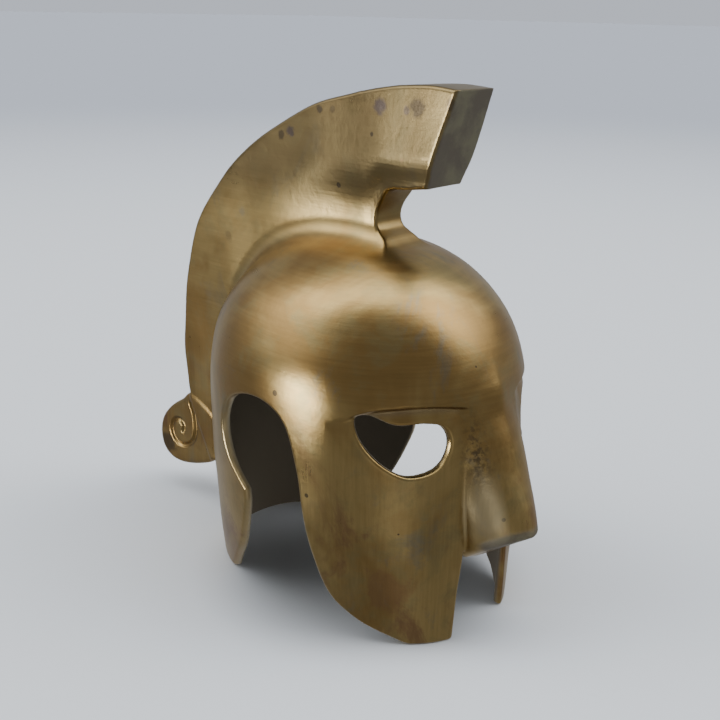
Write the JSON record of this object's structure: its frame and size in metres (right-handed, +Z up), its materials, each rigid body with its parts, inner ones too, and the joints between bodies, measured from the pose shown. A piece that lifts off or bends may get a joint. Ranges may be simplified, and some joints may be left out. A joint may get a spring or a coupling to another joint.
{
  "type": "corinthian helmet",
  "caption": "Small cast brass Corinthian helmet with a tall solid crest that ends in a volute; open eye, ear and mouth gaps; it stands on its cheek guards and neck guard.",
  "frame": {"origin": "on the surface that it stands on, under the middle of its box", "axes": "+Z up, the face looks along -Y, x = 0 is the plane of symmetry, +X is the wearer's left"},
  "size_m": [0.107, 0.2062, 0.1984],
  "materials": {
    "cast_brass": "satin polished cast brass with brown tarnish, dark stains on the crest and a rough brown inside"
  },
  "bodies": {
    "root": {"helmet": "cast_brass"}
  },
  "joints": []
}
